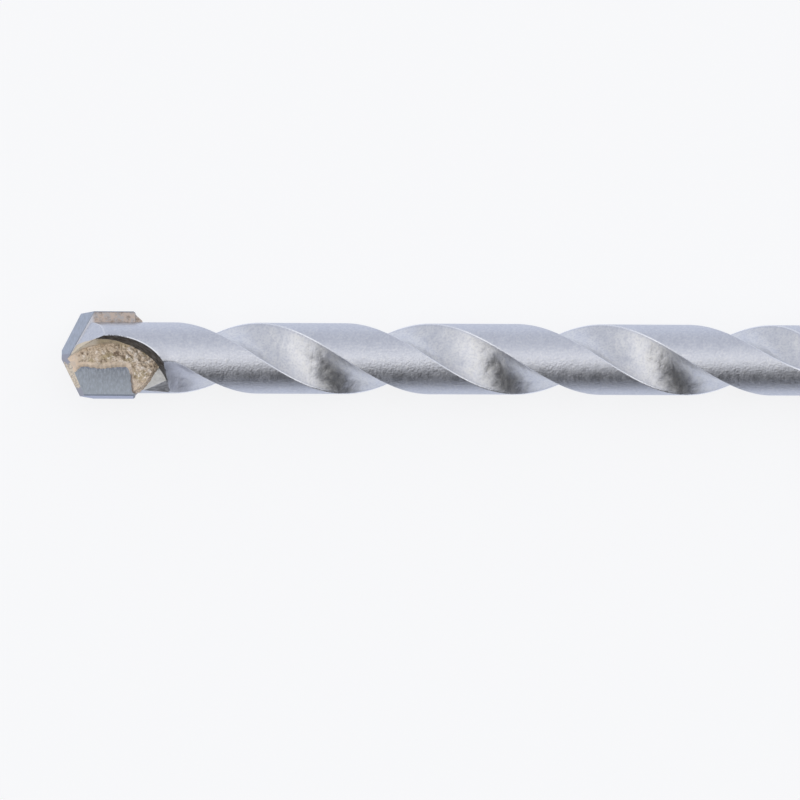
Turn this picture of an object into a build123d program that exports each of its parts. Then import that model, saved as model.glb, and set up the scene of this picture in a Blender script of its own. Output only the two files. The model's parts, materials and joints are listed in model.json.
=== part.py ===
from build123d import *
import math
import os

os.makedirs("parts", exist_ok=True)

# A masonry drill bit: a round steel rod with two helical flutes, and a flat carbide
# plate brazed across a slot in its front end.
# X runs along the rod, with the tip at the low end, and X = 0 is the middle of the plain
# shank. The bit lies on its rod, with the plate level, so its two wings point along Y.

# Main sizes, in mm. The rod tapers back a little, from its nose to the plain shank.
bit_diameter = 10.0
bit_length = 150.0
rod_diameter = 8.3
shank_diameter = 8.2
shank_length = 60.0

# Domed shank end: a steep rim, then a low crown
rim_rise = 0.37
crown_radius = 2.7
crown_rise = 0.93

# Flutes: grooves of round section, wound to the right
flute_lead = 40.0
core_diameter = 4.8
groove_radius = 7.5
flute_phase_deg = 28.0

# They start inside the gashes, with a short run-out
start_run_from = 14.8
start_run = 4.0
start_wheel_radius = 4.3
start_sections = 5

# At the shank they fade out over a longer run
end_run = 10.0
end_wheel_radius = 27.0
end_sections = 7
even_sections = 26

# Carbide plate, with a roof-shaped cutting edge on each wing
plate_length = 8.6
plate_thickness = 2.0
plate_offset = 0.3
flank_rise = 0.55
flank_slope = 1.0
edge_setback = -0.627
edge_rise = 0.427
edge_slope = 1.2
tail_corner = 0.2

# Steel nose, ground back behind each wing
nose_setback = -0.21
nose_rise = 0.6
nose_slope = 1.1

# Gash: a round pocket that bares the cutting face of each wing
gash_centre_from_tip = 5.54
gash_floor_radius = 7.4
gash_top_y = 1.45
gash_wall_draft_deg = 11.0

# Heel: a small sloping facet beyond the gash's floor, behind each wing's tail
heel_behind_plate = 1.0
heel_top_y = -2.85
heel_slope_deg = 30.0

# Braze: a thin film round the plate, and a heap of filler in each gash
braze_film = 0.1
braze_heap = 0.42
braze_margin = 0.12
tail_slope_length = 0.8
tail_slope_depth = 1.0
heap_edge_y = -1.2
heap_over_plate = 0.5
heap_behind_plate = 2.1
heap_rounding = 0.3

# Cuts run past what they cut by this much
overcut = 0.6

# Values that follow from the ones above
rod_radius = rod_diameter / 2
shank_radius = shank_diameter / 2
tip_x = shank_length / 2 - bit_length
shank_start_x = -shank_length / 2
shank_end_x = shank_length / 2
rim_x = shank_end_x - crown_rise - rim_rise
half_width = bit_diameter / 2
half_thickness = plate_thickness / 2
slot_half = half_thickness + braze_film
slot_depth = plate_length + braze_film
gash_x = tip_x + gash_centre_from_tip
gash_centre_y = gash_top_y - gash_floor_radius
reach = 4 * bit_diameter
half_turn = Rot(180, 0, 0)
plate_shift = Pos(0, plate_offset, 0)
face_plane = Plane.XY.offset(half_thickness)


def in_front(setback, rise, slope):
    """A block in front of the plane x = setback + rise * y + slope * z."""
    front = Plane(origin=(tip_x + setback, 0, 0), z_dir=(-1, rise, slope))
    return front * Box(reach, reach, reach, align=(Align.CENTER, Align.CENTER, Align.MIN))


def slab(start, end, half_y, half_z):
    """A block from start to end behind the tip, centred on the axis."""
    return Pos(tip_x + (start + end) / 2, 0, 0) * Box(end - start, 2 * half_y, 2 * half_z)


def outline(*points):
    """A flat face from (distance behind the tip, y) points."""
    return make_face(Polyline([(tip_x + x, y) for x, y in points], close=True))


def groove_at(from_tip):
    """A groove's section there, lifted off the axis along its two run-outs."""
    start = max(0, start_run_from - from_tip)
    end = max(0, from_tip - run_out_from)
    lift = start**2 / (2 * start_wheel_radius) + end**2 / (2 * end_wheel_radius)
    outer = rod_radius + overcut
    wheel = core_diameter / 2 + groove_radius + lift
    spread = math.acos((outer**2 + wheel**2 - groove_radius**2) / (2 * outer * wheel))
    middle = math.radians(flute_phase_deg + 360 * from_tip / flute_lead)

    def at(radius, angle):
        return (tip_x + from_tip, radius * math.cos(angle), radius * math.sin(angle))

    first = at(outer, middle - spread)
    last = at(outer, middle + spread)
    floor = ThreePointArc(first, at(wheel - groove_radius, middle), last)
    roof = ThreePointArc(last, at(outer, middle), first)
    return Face(Wire([floor, roof]))


# Rod, turned about X with its domed end
crown_ball = (crown_radius**2 + crown_rise**2) / (2 * crown_rise)
middle_sink = crown_ball - math.sqrt(crown_ball**2 - (crown_radius / 2) ** 2)
side = Polyline(
    (tip_x, 0),
    (tip_x, rod_radius),
    (shank_start_x, shank_radius),
    (rim_x, shank_radius),
    (rim_x + rim_rise, crown_radius),
)
crown = ThreePointArc(
    (rim_x + rim_rise, crown_radius),
    (shank_end_x - middle_sink, crown_radius / 2),
    (shank_end_x, 0),
)
centre_line = Line((shank_end_x, 0), (tip_x, 0))
rod = revolve(make_face([side, crown, centre_line]), axis=Axis.X)

# Steel nose behind the wings
nose = in_front(nose_setback, nose_rise, nose_slope)
blank = rod - nose - half_turn * nose

# Gashes, each with a flat floor level with the plate's face and a leaning round wall
gash_height = rod_radius - half_thickness + overcut
gash_spread = gash_height * math.tan(math.radians(gash_wall_draft_deg))
gash = Pos(gash_x, gash_centre_y, half_thickness) * Cone(
    gash_floor_radius,
    gash_floor_radius + gash_spread,
    gash_height,
    align=(Align.CENTER, Align.CENTER, Align.MIN),
)
other_gash = half_turn * gash
blank = blank - gash - other_gash

# Flutes, through closely spaced sections at the run-outs and even ones between
run_out_from = bit_length - shank_length - end_run
start_step = start_run / start_sections
even_step = (run_out_from - start_run_from) / even_sections
end_step = end_run / end_sections
places = [start_run_from - start_step * step for step in range(start_sections, 0, -1)]
places += [start_run_from + even_step * step for step in range(even_sections)]
places += [run_out_from + end_step * step for step in range(end_sections + 1)]
groove = loft([groove_at(place) for place in places])
fluted = blank - groove - half_turn * groove

# Heels, from the gash's wall down to where its floor meets the side of the rod
heel_start = (
    gash_x + math.sqrt(gash_floor_radius**2 - (heel_top_y - gash_centre_y) ** 2),
    heel_top_y,
)
rod_edge_y = -math.sqrt(rod_radius**2 - half_thickness**2)
heel_end = (tip_x + plate_length + heel_behind_plate, rod_edge_y)
heel_line = (Vector(*heel_end) - Vector(*heel_start)).normalized()
heel_tilt = math.radians(heel_slope_deg)
uphill = Vector(-heel_line.Y, heel_line.X, 0) * math.sin(heel_tilt)
heel_plane = Plane(
    origin=(*heel_start, half_thickness),
    x_dir=heel_line,
    z_dir=uphill + Vector(0, 0, math.cos(heel_tilt)),
)
above_heel = heel_plane * Box(reach, reach, reach, align=(Align.CENTER, Align.CENTER, Align.MIN))
under_gash = Pos(gash_x, gash_centre_y, 0) * Cylinder(gash_floor_radius, plate_thickness)
heel = above_heel & under_gash
fluted = fluted - heel - half_turn * heel

# Slot for the plate
drill_body = fluted - slab(-overcut, slot_depth, reach, slot_half)

# Carbide plate
plate = Pos(tip_x + plate_length / 2, 0, 0) * Box(plate_length, bit_diameter, plate_thickness)
tail_edges = plate.edges().filter_by(Axis.Z).group_by(Axis.X)[-1]
plate = chamfer(tail_edges, tail_corner)
flank = in_front(0, flank_rise, flank_slope)
edge = in_front(edge_setback, edge_rise, -edge_slope)
for cut in (flank, edge):
    plate = plate - cut - half_turn * cut
carbide_plate = plate_shift * plate

# Braze film over each face of the plate, where the gash doesn't bare it
film_nose = flank_slope * half_thickness + braze_margin
film_edge = half_width - braze_margin
film_face = outline(
    (film_nose, 0),
    (film_nose + flank_rise * film_edge, film_edge),
    (plate_length - tail_corner, film_edge),
    (plate_length, film_edge - tail_corner),
    (plate_length, -film_edge),
    (film_nose, -film_edge),
)
film = extrude(face_plane * film_face, braze_film)
films = (plate_shift * film - gash) + (plate_shift * (half_turn * film) - other_gash)

# Braze behind the plate's tail, in the slot and as a small slope behind each wing
tail_half = math.sqrt(rod_radius**2 - slot_half**2) - braze_margin
tail = slab(plate_length, slot_depth, tail_half, slot_half) - gash - other_gash
below_rod = rod_radius - 2 * braze_margin
tail_slope_end = plate_length + tail_slope_length
tail_slope_face = outline(
    (plate_length, rod_radius - tail_slope_depth),
    (plate_length, film_edge - tail_corner),
    (plate_length + tail_slope_length / 3, rod_radius + 2 * braze_margin),
    (tail_slope_end, below_rod),
    (tail_slope_end, rod_radius - tail_slope_depth),
)
tail_slope = extrude(tail_slope_face, half_thickness - braze_margin, both=True)
tail_slopes = plate_shift * (tail_slope + half_turn * tail_slope)

# Braze heap in a gash: along the inner edge of the plate's bare face, round its tail and
# up to the gash's wall, which the rest of its outline lies beyond
heap_front = plate_length - heap_over_plate
heap_back = plate_length + heap_behind_plate
inside_wall_y = gash_top_y + gash_spread
free_points = (
    (film_nose - heap_rounding, -0.2 * heap_edge_y),
    (0.5 * heap_front, 0.65 * heap_edge_y),
    (0.95 * heap_front, heap_edge_y),
    (heap_front, 2 * heap_edge_y),
    (1.02 * heap_front, 0.95 * rod_edge_y),
    (plate_length + 0.6 * heap_behind_plate, 0.88 * rod_edge_y),
    (heap_back, 1.5 * heap_edge_y),
    (1.1 * heap_back, 0.7 * heap_edge_y),
)
free_edge = Spline([(tip_x + x, y) for x, y in free_points])
wall_side = Polyline(
    free_edge @ 1,
    (tip_x + plate_length, inside_wall_y),
    (tip_x + 0.3 * plate_length, inside_wall_y),
    free_edge @ 0,
)
heap = extrude(face_plane * make_face([free_edge, wall_side]), braze_heap)
heap_top = heap.faces().sort_by(Axis.Z)[-1]
free_top = heap_top.edges().filter_by(GeomType.BSPLINE)
heap = fillet(free_top, heap_rounding) & gash
filler = films + tail + tail_slopes + heap + half_turn * heap
braze_filler = filler - drill_body - carbide_plate

for name, piece in (
    ("drill_body", drill_body),
    ("carbide_plate", carbide_plate),
    ("braze_filler", braze_filler),
):
    piece.label = name
    export_step(piece, f"parts/{name}.step")
    size = piece.bounding_box().size
    print(name, len(piece.solids()), "solid,", round(piece.volume, 1), "mm3,", size)
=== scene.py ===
# %% [markdown]
# # A masonry drill bit, lying on a pale table
#
# The bit is a sand-blasted steel rod with two right-hand flutes. A flat plate of carbide
# is brazed across a slot in its nose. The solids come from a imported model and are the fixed
# frame. Everything below gives them their looks, or stands in for one of them with a finer mesh.

# %% Load the frame
import json
import math

import bmesh
import bpy
import numpy as np
from mathutils import Matrix, Vector, noise
from mathutils.bvhtree import BVHTree
from mathutils.geometry import delaunay_2d_cdt

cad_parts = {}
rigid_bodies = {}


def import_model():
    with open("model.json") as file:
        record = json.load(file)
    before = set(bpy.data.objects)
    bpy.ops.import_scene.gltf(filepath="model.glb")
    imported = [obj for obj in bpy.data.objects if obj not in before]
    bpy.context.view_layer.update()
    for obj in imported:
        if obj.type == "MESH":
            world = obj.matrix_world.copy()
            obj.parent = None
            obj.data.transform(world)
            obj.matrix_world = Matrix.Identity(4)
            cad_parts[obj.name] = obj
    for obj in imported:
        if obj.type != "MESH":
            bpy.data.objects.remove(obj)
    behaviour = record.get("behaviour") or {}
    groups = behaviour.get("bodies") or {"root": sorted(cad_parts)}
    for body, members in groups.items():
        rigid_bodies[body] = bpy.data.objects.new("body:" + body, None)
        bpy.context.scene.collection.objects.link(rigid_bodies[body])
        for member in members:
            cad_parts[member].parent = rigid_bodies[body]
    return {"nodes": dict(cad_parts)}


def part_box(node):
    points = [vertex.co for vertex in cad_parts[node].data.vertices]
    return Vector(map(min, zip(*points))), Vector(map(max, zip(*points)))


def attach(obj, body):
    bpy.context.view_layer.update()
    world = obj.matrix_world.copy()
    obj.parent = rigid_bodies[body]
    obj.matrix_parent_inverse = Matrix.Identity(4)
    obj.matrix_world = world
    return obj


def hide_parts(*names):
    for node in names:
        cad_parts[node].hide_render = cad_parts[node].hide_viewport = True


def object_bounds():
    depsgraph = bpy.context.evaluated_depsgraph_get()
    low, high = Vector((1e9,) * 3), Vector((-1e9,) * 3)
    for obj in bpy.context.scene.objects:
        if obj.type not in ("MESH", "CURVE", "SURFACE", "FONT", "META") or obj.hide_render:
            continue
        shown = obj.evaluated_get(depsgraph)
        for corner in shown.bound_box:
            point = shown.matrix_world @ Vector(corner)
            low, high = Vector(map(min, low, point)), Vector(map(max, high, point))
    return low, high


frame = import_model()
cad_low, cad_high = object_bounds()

steel_node = frame["nodes"]["drill_body"]
plate_node = frame["nodes"]["carbide_plate"]
braze_node = frame["nodes"]["braze_filler"]
print("model box in mm", [round(v * 1000, 2) for v in (*cad_low, *cad_high)])

# %% [markdown]
# ## The sizes of the real bit
#
# The frame is in metres, but a tool maker thinks in millimetres. So the sizes are named here
# in millimetres, and each mesh is scaled down once, at its end. The places of the tip, the
# shank's end and the table are read from the frame instead of being typed in again.

# %% Name the sizes
MM = 0.001

tip_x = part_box("carbide_plate")[0].x / MM
shank_end_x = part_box("drill_body")[1].x / MM
table_z = cad_low.z / MM

rod_radius = 4.15
shank_radius = 4.1
shank_length = 60.0
shank_start_x = shank_end_x - shank_length
fluted_length = shank_start_x - tip_x
rim_rise = 0.37
crown_radius = 2.7
crown_rise = 0.93

flute_lead = 40.0
core_radius = 2.4
groove_radius = 7.5
flute_phase_deg = 28.0
start_run_from = 14.8
start_wheel_radius = 4.3
end_run_from = fluted_length - 10.0
end_wheel_radius = 27.0

plate_length = 8.6
half_thickness = 1.0
braze_film = 0.1
print("fluted for", round(fluted_length, 2), "mm, then", shank_length, "mm of plain shank")

# %% [markdown]
# ## Small helpers
#
# A mesh is only a list of points and a list of faces. One helper turns such lists, in
# millimetres, into an object in metres. Another makes the second one of each thing that the bit
# has twice: the bit looks the same after half a turn about its axis.

# %% Make an object from points and faces
def new_piece(name, points, faces):
    """A smooth-shaded object from points in mm and faces."""
    mesh = bpy.data.meshes.new(name)
    mesh.from_pydata([Vector(p) * MM for p in points], [], faces)
    mesh.shade_smooth()
    mesh.update()
    piece = bpy.data.objects.new(name, mesh)
    bpy.context.scene.collection.objects.link(piece)
    return piece


def half_turned(points):
    """The same points after half a turn about the bit's axis."""
    return [(x, -y, -z) for x, y, z in points]


# %% [markdown]
# ## The fluted rod, ring by ring
#
# On the real bit a grinding wheel or a pair of rolls cuts two round-bottomed grooves while the
# rod turns and slides past. It could be made with a boolean of two swept tubes, but that leaves
# long thin faces that shine in stripes. Here the rod is a stack of rings instead. Each ring is
# turned a little further than the last, by the flutes' lead, so that the mesh lines run along
# the edges of the lands and the steel shades evenly.

# %% How deep and how wide the groove is
narrowest_groove_deg = 8.0


def groove_lift(from_tip):
    """How far the groove has risen from its full depth, in mm, at its two run-outs."""
    start = max(0.0, start_run_from - from_tip)
    end = max(0.0, from_tip - end_run_from)
    return start**2 / (2 * start_wheel_radius) + end**2 / (2 * end_wheel_radius)


def rod_radius_at(from_tip):
    """The rod tapers back a little from its nose to the shank."""
    along = min(1.0, max(0.0, from_tip / fluted_length))
    return rod_radius + (shank_radius - rod_radius) * along


def half_groove(rod, wheel):
    """Half the angle that a groove takes from the ring, in radians."""
    cosine = (rod**2 + wheel**2 - groove_radius**2) / (2 * rod * wheel)
    return max(math.acos(min(1.0, cosine)), math.radians(narrowest_groove_deg))


print("the groove is", round(rod_radius - core_radius, 2), "mm deep between its run-outs")

# %% [markdown]
# A ring's points stand at chosen angles round the axis. They crowd at the two edges of the
# groove, where the steel turns sharply. Each point is as far from the axis as the rod's side or
# the groove's floor, whichever is nearer. The change between the two is rounded, because the sand
# rounds the real edge too.

# %% The outline of one ring
groove_columns = 26
land_columns = 22
edge_angles_deg = (0.45, 1.0, 1.7, 2.7)
edge_margin = 1.6
edge_blend = 0.13
groove_side_angle = 1.2
no_cut = 99.0


def columns_around(half):
    """The angles of half a ring's points, which crowd at the two edges of the groove."""
    edge = np.radians(edge_angles_deg)
    margin = edge[-1] * edge_margin
    first_edge = [-half - edge[::-1], [-half], -half + edge]
    groove = np.linspace(-half + margin, half - margin, groove_columns)
    last_edge = [half - edge[::-1], [half], half + edge]
    land = np.linspace(half + margin, math.pi - half - margin, land_columns)
    return np.concatenate([*first_edge, groove, *last_edge, land])


def groove_floor(around, wheel):
    """How far from the axis the groove's floor is at each angle, in mm."""
    inside = groove_radius**2 - (wheel * np.sin(around)) ** 2
    inside = np.where(np.abs(around) < groove_side_angle, inside, -1.0)
    floor = wheel * np.cos(around) - np.sqrt(np.maximum(inside, 0))
    return np.where(inside > 0, floor, no_cut)


def soft_minimum(a, b, blend):
    """The smaller of two arrays, with a rounded change from one to the other."""
    near = np.maximum(blend - np.abs(a - b), 0.0) / blend
    return np.minimum(a, b) - near**2 * blend / 4


def ring(from_tip):
    """One closed ring of points round the rod, as an array of (x, y, z) in mm."""
    rod = rod_radius_at(from_tip)
    wheel = core_radius + groove_radius + groove_lift(from_tip)
    around = columns_around(half_groove(rod, wheel))
    radius = soft_minimum(np.full_like(around, rod), groove_floor(around, wheel), edge_blend)
    wound = min(from_tip, fluted_length)
    turn = math.radians(flute_phase_deg) + 2 * math.pi * wound / flute_lead
    angle = around + turn
    x = np.full_like(around, tip_x + from_tip)
    half_ring = np.stack([x, radius * np.cos(angle), radius * np.sin(angle)], axis=1)
    return np.concatenate([half_ring, half_ring * (1, -1, -1)])


print("points in a ring:", len(ring(fluted_length / 2)))

# %% [markdown]
# The rings stand close where the steel changes fast and far apart on the plain shank. The last
# few rings shrink to the crown of the shank's end, which is a small ball-shaped cap inside a
# steep ground rim.

# %% Place the rings
nose_step = 0.2
flute_step = 0.3
shank_step = 3.0
past_run_out = 1.0
before_rim = 0.4
crown_rings = 7
rim_corner = ((-0.12, 0.0), (0.0, 0.03), (0.03, 0.12))
rim_middle = 0.55


def ring_places():
    """Distances behind the tip of the rings on the fluted part and the straight shank."""
    nose = np.arange(0.0, start_run_from + past_run_out, nose_step)
    flutes = np.arange(nose[-1] + flute_step, fluted_length + past_run_out, flute_step)
    rim = shank_end_x - tip_x - crown_rise - rim_rise
    shank = np.linspace(flutes[-1] + shank_step, rim - before_rim, int(shank_length / shank_step))
    return [*nose, *flutes, *shank]


def crown_profile():
    """(x, radius) of the rings on the shank's domed end."""
    rim_x = shank_end_x - crown_rise - rim_rise
    ball = (crown_radius**2 + crown_rise**2) / (2 * crown_rise)
    places = [(rim_x + along, shank_radius - inward) for along, inward in rim_corner]
    places.append((rim_x + rim_rise * rim_middle, (shank_radius + crown_radius) / 2))
    for number in range(crown_rings):
        angle = math.asin(crown_radius / ball) * (1 - number / crown_rings)
        places.append((shank_end_x - ball * (1 - math.cos(angle)), ball * math.sin(angle)))
    return places


print(len(ring_places()), "rings on the rod and", len(crown_profile()), "on its domed end")

# %% [markdown]
# Neighbouring rings are joined by four-sided faces. The first ring and the last one are closed by
# a fan of triangles, because a boolean only works well on a closed body.

# %% Stack the rings into the rod
def stacked_rings():
    """All the rings, from the tip to the shank's domed end."""
    rings = [ring(place) for place in ring_places()]
    last = rings[-1]
    outward = last[:, 1:] / np.linalg.norm(last[:, 1:], axis=1, keepdims=True)
    for x, radius in crown_profile():
        rings.append(np.column_stack([np.full(len(last), x), outward * radius]))
    return rings


def rod_mesh():
    """Points and faces of the closed rod, before its nose is cut."""
    rings = stacked_rings()
    count = len(rings[0])
    points = [tuple(p) for p in np.concatenate(rings)]
    points += [(tip_x, 0.0, 0.0), (shank_end_x, 0.0, 0.0)]
    front, back = len(points) - 2, len(points) - 1
    tail = (len(rings) - 1) * count
    faces = []
    for here in range(0, tail, count):
        there = here + count
        for column in range(count):
            after = (column + 1) % count
            faces.append((here + column, here + after, there + after, there + column))
    for column in range(count):
        after = (column + 1) % count
        faces.append((front, after, column))
        faces.append((back, tail + column, tail + after))
    return points, faces


rod_points, rod_faces = rod_mesh()
steel = new_piece("steel_body", rod_points, rod_faces)
print("rod:", len(steel.data.vertices), "points,", len(steel.data.polygons), "faces")

# %% [markdown]
# ## Grinding the nose
#
# On the real bit the nose is shaped with grinding wheels: a slanting face behind each wing, a
# round pocket called a gash in front of each, a small heel facet, and a sawn slot for the plate.
# Each of those is a solid here, and a boolean takes it away from the rod, as the wheel does.
#
# Two helpers draw all of these solids. A prism stands on an outline and may widen upwards, which
# gives a leaning wall. A plane takes off what lies on one side of it, which gives a slanting face.

# %% Helpers for solid shapes
block_front = 9
block_back = 12
block_half = 9


def prism(name, low, high, low_z, high_z):
    """A solid between two outlines of (x, y) with as many points."""
    count = len(low)
    points = [(x, y, low_z) for x, y in low] + [(x, y, high_z) for x, y in high]
    faces = [tuple(range(count - 1, -1, -1)), tuple(range(count, 2 * count))]
    faces += [(i, (i + 1) % count, count + (i + 1) % count, count + i) for i in range(count)]
    return new_piece(name, points, faces)


def rectangle(start, end, half_width):
    """Corners of a rectangle on the axis, from one distance behind the tip to another."""
    corners = ((start, -half_width), (end, -half_width), (end, half_width), (start, half_width))
    return [(tip_x + x, y) for x, y in corners]


def above_plane(piece, point, normal):
    """Keeps only the part of a closed piece on the normal's side of a plane, in mm."""
    shape = bmesh.new()
    shape.from_mesh(piece.data)
    cut = bmesh.ops.bisect_plane(
        shape,
        geom=shape.verts[:] + shape.edges[:] + shape.faces[:],
        plane_co=Vector(point) * MM,
        plane_no=normal,
        clear_inner=True,
    )
    rim = [e for e in cut["geom_cut"] if isinstance(e, bmesh.types.BMEdge)]
    bmesh.ops.contextual_create(shape, geom=rim)
    bmesh.ops.recalc_face_normals(shape, faces=shape.faces[:])
    shape.to_mesh(piece.data)
    shape.free()
    return piece


def block(name):
    """A block round the nose, and much larger than it."""
    square = rectangle(-block_front, block_back, block_half)
    return prism(name, square, square, -block_half, block_half)


print("the first block is", block_front + block_back, "mm long")

# %% [markdown]
# Now the wheels themselves, with a function for each. The nose's face leans in two directions.
# The gash is a round column that widens upwards, the heel is what a slanting plane leaves of such
# a column, and the slot is a plain block.

# %% The shapes that the wheels take away
nose_plane = (-0.21, 0.6, 1.1)
gash_x = tip_x + 5.54
gash_floor_radius = 7.4
gash_top_y = 1.45
gash_y = gash_top_y - gash_floor_radius
gash_height = 3.75
gash_draft_deg = 11.0
gash_columns = 220
heel_start = (12.27, -2.85)
heel_end = (9.6, -4.03)
heel_slope_deg = 30.0
heel_overcut = 0.3
saw_front = 1
saw_half = 6


def circle(radius):
    """Points of a circle round the gash's centre."""
    turns = [2 * math.pi * i / gash_columns for i in range(gash_columns)]
    return [(gash_x + radius * math.cos(t), gash_y + radius * math.sin(t)) for t in turns]


def nose_wheel():
    """What the slanting face behind a wing takes away."""
    setback, rise, slope = nose_plane
    return above_plane(block("nose_wheel"), (tip_x + setback, 0, 0), (-1, rise, slope))


def gash_wheel():
    """The round pocket in front of a wing, with a leaning wall."""
    spread = gash_height * math.tan(math.radians(gash_draft_deg))
    low, high = circle(gash_floor_radius), circle(gash_floor_radius + spread)
    return prism("gash_wheel", low, high, half_thickness, half_thickness + gash_height)


def heel_wheel():
    """The small facet that slopes away from the gash's floor."""
    start = Vector((tip_x + heel_start[0], heel_start[1], half_thickness))
    end = Vector((tip_x + heel_end[0], heel_end[1], half_thickness))
    along = (end - start).normalized()
    tilt = math.radians(heel_slope_deg)
    uphill = Vector((-along.y, along.x, 0)) * math.sin(tilt)
    column = circle(gash_floor_radius)
    piece = prism("heel_wheel", column, column, -half_thickness, half_thickness + heel_overcut)
    return above_plane(piece, start, uphill + Vector((0, 0, math.cos(tilt))))


def slot_saw():
    """The slot that the plate and its braze sit in."""
    square = rectangle(-saw_front, plate_length + braze_film, saw_half)
    half = half_thickness + braze_film
    return prism("slot_saw", square, square, -half, half)


print("a gash's wall is", gash_columns, "faces round, and leans", gash_draft_deg, "degrees")

# %% [markdown]
# The first three shapes are cut twice, because the bit has two of each: once as they are, and
# once after half a turn about the axis. The one slot goes through both sides. Afterwards the
# corners between ground faces are marked as sharp, and the rest is shaded as smooth.

# %% Cut the nose
sharp_angle_deg = 24


def take_away(piece, tool, turned=False):
    """Cuts a tool's shape from a piece, after half a turn if that is asked for."""
    if turned:
        tool.data.transform(Matrix.Rotation(math.pi, 4, "X"))
    cut = piece.modifiers.new("cut", "BOOLEAN")
    cut.operation = "DIFFERENCE"
    cut.solver = "MANIFOLD"
    cut.object = tool
    graph = bpy.context.evaluated_depsgraph_get()
    done = bpy.data.meshes.new_from_object(piece.evaluated_get(graph))
    piece.modifiers.clear()
    piece.data = done


def cut_twice(piece, make_tool):
    """Cuts the same shape on both sides of the bit."""
    for turned in (False, True):
        tool = make_tool()
        take_away(piece, tool, turned)
        bpy.data.objects.remove(tool)


for make_tool in (nose_wheel, gash_wheel, heel_wheel):
    cut_twice(steel, make_tool)
    print(make_tool.__name__, "leaves", len(steel.data.polygons), "faces")
saw = slot_saw()
take_away(steel, saw)
bpy.data.objects.remove(saw)
steel.data.name = "steel_body"
steel.data.shade_smooth()
steel.data.set_sharp_from_angle(angle=math.radians(sharp_angle_deg))
print("steel body:", len(steel.data.vertices), "points,", len(steel.data.polygons), "faces")

# %% [markdown]
# A finer mesh that stands for a solid has to keep its form. So the new steel body is measured
# against the solid: each corner of the solid is compared with the nearest place on the new mesh,
# and the centre of each new face with the nearest place on the solid.

# %% Measure the new steel body against the solid
def surface_of(piece):
    """A search tree of a piece's faces."""
    corners = [v.co for v in piece.data.vertices]
    return BVHTree.FromPolygons(corners, [p.vertices[:] for p in piece.data.polygons])


def farthest(places, surface):
    """The largest distance in mm from any of the places to a surface."""
    return round(max(surface.find_nearest(place)[3] for place in places) / MM, 3)


corners_off = farthest([v.co for v in steel_node.data.vertices], surface_of(steel))
centres_off = farthest([p.center for p in steel.data.polygons], surface_of(steel_node))
print("the solid's corners are within", corners_off, "mm of it")
print("its faces' centres are within", centres_off, "mm of the solid")
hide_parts("drill_body")
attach(steel, "root")

# %% [markdown]
# ## The braze
#
# The carbide is soldered in with a brass-like metal and grains of flux. It ran as a thin film
# round the plate and froze as a rough heap in each gash, against the wall. The film's plain form
# can come straight from the solid. A heap needs grains of a quarter of a millimetre, which are
# too fine for a solid, so each heap is a height field: its outline is filled with small
# triangles, and each of their corners is lifted by a formula. The outline's free edge is made
# ragged by noise. This noise starts at a random place in each run unless it is given a seed.

# %% Draw a heap's outline from above
heap_spacing = 0.055
heap_edge = (
    (1.05, -0.7),
    (1.48, -1.85),
    (1.75, -1.85),
    (2.3, -1.2),
    (3.3, -1.33),
    (4.8, -1.56),
    (6.4, -1.26),
    (7.8, -1.3),
    (8.08, -2.1),
    (8.2, -3.7),
    (8.28, -4.4),
    (8.75, -4.4),
    (9.6, -3.95),
    (10.5, -2.78),
    (11.0, -1.8),
)
heap_wall_from = 0.72
heap_wall_to = 11.35
wobble_size = 0.35
wobble_reach = 0.1
noise_seed = 1
noise.seed_set(noise_seed)


def on_wall(from_tip):
    """The point of the gash wall's foot so far behind the tip."""
    x = tip_x + from_tip
    return x, gash_y + math.sqrt(gash_floor_radius**2 - (x - gash_x) ** 2)


def evenly(points, spacing):
    """Points at an even spacing along straight lines between points."""
    spaced = []
    for start, end in zip(points, points[1:]):
        steps = max(1, round(math.dist(start, end) / spacing))
        spaced += [tuple(np.add(start, np.subtract(end, start) * i / steps)) for i in range(steps)]
    return [*spaced, points[-1]]


def corners_cut(points):
    """The same line with each corner cut off at a quarter of its sides."""
    cut = [points[0]]
    for start, end in zip(points, points[1:]):
        cut.append(tuple(np.add(np.multiply(start, 0.75), np.multiply(end, 0.25))))
        cut.append(tuple(np.add(np.multiply(start, 0.25), np.multiply(end, 0.75))))
    return [*cut, points[-1]]


def wobbled(points, shift):
    """Points moved sideways a little by smooth noise."""
    moved = []
    for x, y in points:
        push = noise.noise_vector(Vector((x / wobble_size, y / wobble_size, shift)))
        moved.append((x + push.x * wobble_reach, y + push.y * wobble_reach))
    return moved


def heap_outline(shift):
    """The free edge and the wall's foot, as two lines from nose to tail and back."""
    first, last = on_wall(heap_wall_from), on_wall(heap_wall_to)
    edge = [first, *((tip_x + x, y) for x, y in heap_edge), last]
    edge = evenly(corners_cut(corners_cut(edge)), heap_spacing)
    edge = [edge[0], *wobbled(edge[1:-1], shift), edge[-1]]
    steps = round((heap_wall_to - heap_wall_from) / heap_spacing)
    back = np.linspace(heap_wall_to, heap_wall_from, steps)[1:-1]
    return edge, [on_wall(place) for place in back]


edge, wall_foot = heap_outline(0.0)
print("heap outline:", len(edge), "points on its free edge,", len(wall_foot), "at the wall")

# %% [markdown]
# The outline is filled by a Delaunay triangulation, which Blender has built in: it joins any
# cloud of points into well shaped triangles and keeps to the outline.

# %% Fill the outline with triangles
left_gap = 0.7
right_gap = 0.6
row_shift = 0.2
cloud_merge = 1e-4
inside_only = 1


def row_cuts(outline, y):
    """Where a level line crosses a closed outline, from left to right."""
    after = np.roll(outline, -1, axis=0)
    crossing = (outline[:, 1] > y) != (after[:, 1] > y)
    start, end = outline[crossing], after[crossing]
    share = (y - start[:, 1]) / (end[:, 1] - start[:, 1])
    return np.sort(start[:, 0] + (end[:, 0] - start[:, 0]) * share)


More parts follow.
